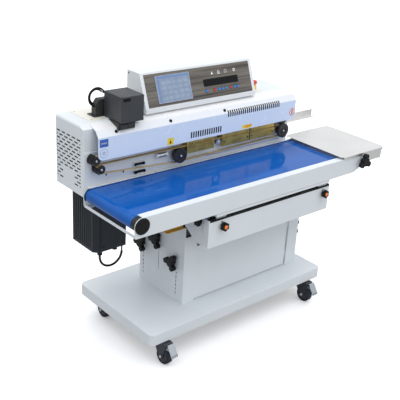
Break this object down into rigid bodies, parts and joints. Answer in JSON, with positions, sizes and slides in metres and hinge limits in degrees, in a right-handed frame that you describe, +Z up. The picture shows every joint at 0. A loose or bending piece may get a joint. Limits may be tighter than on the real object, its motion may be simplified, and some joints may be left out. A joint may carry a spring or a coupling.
{
  "type": "continuous band sealer",
  "caption": "Castered bag sealing machine: a height-adjustable head with heated sealing bands, control console and date coder over a blue belt conveyor with a sliding infeed table.",
  "frame": {"origin": "bottom centre of the bounding box at rest, on the floor under the machine", "axes": "+X along the conveyor towards the infeed table, +Y from the operator's side to the back, +Z up; bags travel towards -X"},
  "size_m": [1.425, 0.593, 1.109],
  "materials": {
    "powder_white": "satin powder coat",
    "fork_dark": "dark satin paint",
    "caster_tyre": "matte",
    "chrome_pedal": "bright plate",
    "black_plastic": "moulded, fine grain",
    "cream_plate": "satin",
    "guard_pale": "satin powder coat",
    "plate_grey": "milled and lightly worn",
    "brass_block": "machined, heat stained",
    "band_tan": "coated glass cloth",
    "motor_grey": "painted casting",
    "wheel_black": "matte",
    "knurl_steel": "knurled",
    "fascia_brown": "printed film, streaked",
    "key_blue": "gloss",
    "key_red": "gloss",
    "stop_yellow": "gloss",
    "stop_red": "gloss",
    "coder_grey": "fine texture paint",
    "coder_black": "matte",
    "supply_dark": "fine texture paint",
    "stainless": "fine brushed",
    "belt_blue": "smooth, glossy",
    "drum_dark": "anodised"
  },
  "bodies": {
    "base": {"base_tray": "powder_white", "column_shell": "powder_white"},
    "lift": {"lift_frame": "powder_white", "head_housing": "powder_white", "head_top_plate": "cream_plate", "front_guard": "guard_pale", "seal_base_plate": "plate_grey", "sealing_blocks": "brass_block", "upper_band": "band_tan", "lower_band": "band_tan", "drive_motor": "motor_grey", "console_housing": "powder_white", "console_fascia": "fascia_brown", "stop_base": "stop_yellow", "coder_body": "coder_grey", "coder_mount": "coder_black", "power_box": "supply_dark", "infeed_guide": "stainless"},
    "bracket": {"bracket_beam": "powder_white"},
    "conveyor": {"conveyor_frame": "powder_white", "roller_caps": "black_plastic", "conveyor_belt": "belt_blue"},
    "drive_drum": {"drive_roller": "drum_dark"},
    "tail_drum": {"tail_roller": "drum_dark"},
    "table": {"extension_table": "stainless"},
    "table_clamp": {"table_knob": "black_plastic"},
    "upper_left_wheel_body": {"upper_left_wheel": "wheel_black"},
    "lower_left_wheel_body": {"lower_left_wheel": "wheel_black"},
    "upper_right_wheel_body": {"upper_right_wheel": "wheel_black"},
    "lower_right_wheel_body": {"lower_right_wheel": "wheel_black"},
    "press_wheel_body": {"press_wheel": "wheel_black"},
    "knurl_wheel_body": {"knurl_wheel": "knurl_steel"},
    "key_1_cap": {"key_1": "key_blue"},
    "key_2_cap": {"key_2": "key_red"},
    "key_3_cap": {"key_3": "key_blue"},
    "key_4_cap": {"key_4": "key_blue"},
    "key_5_cap": {"key_5": "key_blue"},
    "key_6_cap": {"key_6": "key_red"},
    "key_7_cap": {"key_7": "key_blue"},
    "key_8_cap": {"key_8": "key_blue"},
    "stop_cap": {"stop_button": "stop_red"},
    "lock_front_clamp": {"lock_knob_front": "black_plastic"},
    "lock_middle_clamp": {"lock_knob_middle": "black_plastic"},
    "lock_rear_clamp": {"lock_knob_rear": "black_plastic"},
    "lock_right_clamp": {"lock_knob_right": "black_plastic"},
    "star_front_left_clamp": {"star_knob_front_left": "black_plastic"},
    "star_front_right_clamp": {"star_knob_front_right": "black_plastic"},
    "star_side_left_clamp": {"star_knob_side_left": "black_plastic"},
    "star_side_right_clamp": {"star_knob_side_right": "black_plastic"},
    "caster_fl": {"caster_fork_fl": "fork_dark"},
    "caster_roll_fl": {"caster_wheel_fl": "caster_tyre"},
    "pedal_fl": {"brake_pedal_fl": "chrome_pedal"},
    "caster_fr": {"caster_fork_fr": "fork_dark"},
    "caster_roll_fr": {"caster_wheel_fr": "caster_tyre"},
    "pedal_fr": {"brake_pedal_fr": "chrome_pedal"},
    "caster_rl": {"caster_fork_rl": "fork_dark"},
    "caster_roll_rl": {"caster_wheel_rl": "caster_tyre"},
    "caster_rr": {"caster_fork_rr": "fork_dark"},
    "caster_roll_rr": {"caster_wheel_rr": "caster_tyre"}
  },
  "joints": [
    {"name": "lift_slide", "type": "slide", "parent": "base", "child": "lift", "axis": [0, 0, 1], "range_m": [0, 0.15]},
    {"name": "bracket_slide", "type": "slide", "parent": "lift", "child": "bracket", "axis": [0, -1, 0], "range_m": [0, 0.04]},
    {"name": "conveyor_height", "type": "slide", "parent": "bracket", "child": "conveyor", "axis": [0, 0, 1], "range_m": [-0.005, 0.012]},
    {"name": "drive_roller_spin", "type": "hinge", "parent": "conveyor", "child": "drive_drum", "pos_m": [0.4405, -0.0975, 0.682], "axis": [0, -1, 0], "continuous": true},
    {"name": "tail_roller_spin", "type": "hinge", "parent": "conveyor", "child": "tail_drum", "pos_m": [-0.6805, -0.0975, 0.682], "axis": [0, -1, 0], "continuous": true},
    {"name": "table_slide", "type": "slide", "parent": "conveyor", "child": "table", "axis": [1, 0, 0], "range_m": [0, 0.06]},
    {"name": "table_knob_turn", "type": "hinge", "parent": "conveyor", "child": "table_clamp", "pos_m": [0.5505, -0.2725, 0.687], "axis": [0, -1, 0], "continuous": true},
    {"name": "upper_left_wheel_spin", "type": "hinge", "parent": "lift", "child": "upper_left_wheel_body", "pos_m": [-0.6735, 0.047, 0.8267], "axis": [0, -1, 0], "continuous": true},
    {"name": "lower_left_wheel_spin", "type": "hinge", "parent": "lift", "child": "lower_left_wheel_body", "pos_m": [-0.6525, 0.047, 0.7893], "axis": [0, -1, 0], "continuous": true},
    {"name": "upper_right_wheel_spin", "type": "hinge", "parent": "lift", "child": "upper_right_wheel_body", "pos_m": [0.3245, 0.047, 0.8392], "axis": [0, -1, 0], "continuous": true},
    {"name": "lower_right_wheel_spin", "type": "hinge", "parent": "lift", "child": "lower_right_wheel_body", "pos_m": [0.3245, 0.047, 0.782], "axis": [0, -1, 0], "continuous": true},
    {"name": "press_wheel_spin", "type": "hinge", "parent": "lift", "child": "press_wheel_body", "pos_m": [-0.2725, 0.047, 0.7737], "axis": [0, -1, 0], "continuous": true},
    {"name": "knurl_wheel_spin", "type": "hinge", "parent": "lift", "child": "knurl_wheel_body", "pos_m": [-0.0645, 0.047, 0.7934], "axis": [0, -1, 0], "continuous": true},
    {"name": "key_1_press", "type": "slide", "parent": "lift", "child": "key_1_cap", "axis": [0, 0.9336, -0.3584], "range_m": [0, 0.0012], "stiffness_N_per_m": 600},
    {"name": "key_2_press", "type": "slide", "parent": "lift", "child": "key_2_cap", "axis": [0, 0.9336, -0.3584], "range_m": [0, 0.0012], "stiffness_N_per_m": 600},
    {"name": "key_3_press", "type": "slide", "parent": "lift", "child": "key_3_cap", "axis": [0, 0.9336, -0.3584], "range_m": [0, 0.0012], "stiffness_N_per_m": 600},
    {"name": "key_4_press", "type": "slide", "parent": "lift", "child": "key_4_cap", "axis": [0, 0.9336, -0.3584], "range_m": [0, 0.0012], "stiffness_N_per_m": 600},
    {"name": "key_5_press", "type": "slide", "parent": "lift", "child": "key_5_cap", "axis": [0, 0.9336, -0.3584], "range_m": [0, 0.0012], "stiffness_N_per_m": 600},
    {"name": "key_6_press", "type": "slide", "parent": "lift", "child": "key_6_cap", "axis": [0, 0.9336, -0.3584], "range_m": [0, 0.0012], "stiffness_N_per_m": 600},
    {"name": "key_7_press", "type": "slide", "parent": "lift", "child": "key_7_cap", "axis": [0, 0.9336, -0.3584], "range_m": [0, 0.0012], "stiffness_N_per_m": 600},
    {"name": "key_8_press", "type": "slide", "parent": "lift", "child": "key_8_cap", "axis": [0, 0.9336, -0.3584], "range_m": [0, 0.0012], "stiffness_N_per_m": 600},
    {"name": "stop_press", "type": "slide", "parent": "lift", "child": "stop_cap", "axis": [0, 0, -1], "range_m": [0, 0.004], "stiffness_N_per_m": 2000},
    {"name": "lock_knob_front_turn", "type": "hinge", "parent": "base", "child": "lock_front_clamp", "pos_m": [-0.3425, -0.0425, 0.342], "axis": [-1, 0, 0], "continuous": true},
    {"name": "lock_knob_middle_turn", "type": "hinge", "parent": "base", "child": "lock_middle_clamp", "pos_m": [-0.3425, 0.0675, 0.4], "axis": [-1, 0, 0], "continuous": true},
    {"name": "lock_knob_rear_turn", "type": "hinge", "parent": "base", "child": "lock_rear_clamp", "pos_m": [-0.3425, 0.1715, 0.344], "axis": [-1, 0, 0], "continuous": true},
    {"name": "lock_knob_right_turn", "type": "hinge", "parent": "base", "child": "lock_right_clamp", "pos_m": [0.3485, -0.0625, 0.325], "axis": [1, 0, 0], "continuous": true},
    {"name": "star_front_left_turn", "type": "hinge", "parent": "conveyor", "child": "star_front_left_clamp", "pos_m": [-0.2825, -0.2525, 0.576], "axis": [0, -1, 0], "continuous": true},
    {"name": "star_front_right_turn", "type": "hinge", "parent": "conveyor", "child": "star_front_right_clamp", "pos_m": [0.3155, -0.2525, 0.576], "axis": [0, -1, 0], "continuous": true},
    {"name": "star_side_left_turn", "type": "hinge", "parent": "bracket", "child": "star_side_left_clamp", "pos_m": [-0.3515, -0.2025, 0.594], "axis": [-1, 0, 0], "continuous": true},
    {"name": "star_side_right_turn", "type": "hinge", "parent": "bracket", "child": "star_side_right_clamp", "pos_m": [0.3575, -0.2025, 0.594], "axis": [1, 0, 0], "continuous": true},
    {"name": "caster_swivel_fl", "type": "hinge", "parent": "base", "child": "caster_fl", "pos_m": [-0.5095, -0.1785, 0.102], "axis": [0, 0, 1], "continuous": true},
    {"name": "caster_roll_fl_spin", "type": "hinge", "parent": "caster_fl", "child": "caster_roll_fl", "pos_m": [-0.5095, -0.2105, 0.0375], "axis": [1, 0, 0], "continuous": true},
    {"name": "brake_pedal_fl_press", "type": "hinge", "parent": "caster_fl", "child": "pedal_fl", "pos_m": [-0.5095, -0.2285, 0.084], "axis": [1, 0, 0], "range_deg": [0, 15], "stiffness_Nm_per_rad": 1.5},
    {"name": "caster_swivel_fr", "type": "hinge", "parent": "base", "child": "caster_fr", "pos_m": [0.3305, -0.1785, 0.102], "axis": [0, 0, 1], "continuous": true},
    {"name": "caster_roll_fr_spin", "type": "hinge", "parent": "caster_fr", "child": "caster_roll_fr", "pos_m": [0.3305, -0.2105, 0.0375], "axis": [1, 0, 0], "continuous": true},
    {"name": "brake_pedal_fr_press", "type": "hinge", "parent": "caster_fr", "child": "pedal_fr", "pos_m": [0.3305, -0.2285, 0.084], "axis": [1, 0, 0], "range_deg": [0, 15], "stiffness_Nm_per_rad": 1.5},
    {"name": "caster_swivel_rl", "type": "hinge", "parent": "base", "child": "caster_rl", "pos_m": [-0.5095, 0.2535, 0.102], "axis": [0, 0, 1], "continuous": true},
    {"name": "caster_roll_rl_spin", "type": "hinge", "parent": "caster_rl", "child": "caster_roll_rl", "pos_m": [-0.5095, 0.2215, 0.0375], "axis": [1, 0, 0], "continuous": true},
    {"name": "caster_swivel_rr", "type": "hinge", "parent": "base", "child": "caster_rr", "pos_m": [0.3305, 0.2535, 0.102], "axis": [0, 0, 1], "continuous": true},
    {"name": "caster_roll_rr_spin", "type": "hinge", "parent": "caster_rr", "child": "caster_roll_rr", "pos_m": [0.3305, 0.2215, 0.0375], "axis": [1, 0, 0], "continuous": true}
  ],
  "couplings": [
    {"joint": "tail_roller_spin", "follows": "drive_roller_spin", "ratio": 1},
    {"joint": "upper_left_wheel_spin", "follows": "drive_roller_spin", "ratio": -1.4917},
    {"joint": "lower_left_wheel_spin", "follows": "drive_roller_spin", "ratio": 1.4917},
    {"joint": "upper_right_wheel_spin", "follows": "drive_roller_spin", "ratio": -0.88235},
    {"joint": "lower_right_wheel_spin", "follows": "drive_roller_spin", "ratio": 1.063},
    {"joint": "press_wheel_spin", "follows": "drive_roller_spin", "ratio": 0.91216},
    {"joint": "knurl_wheel_spin", "follows": "drive_roller_spin", "ratio": 1.9853}
  ]
}
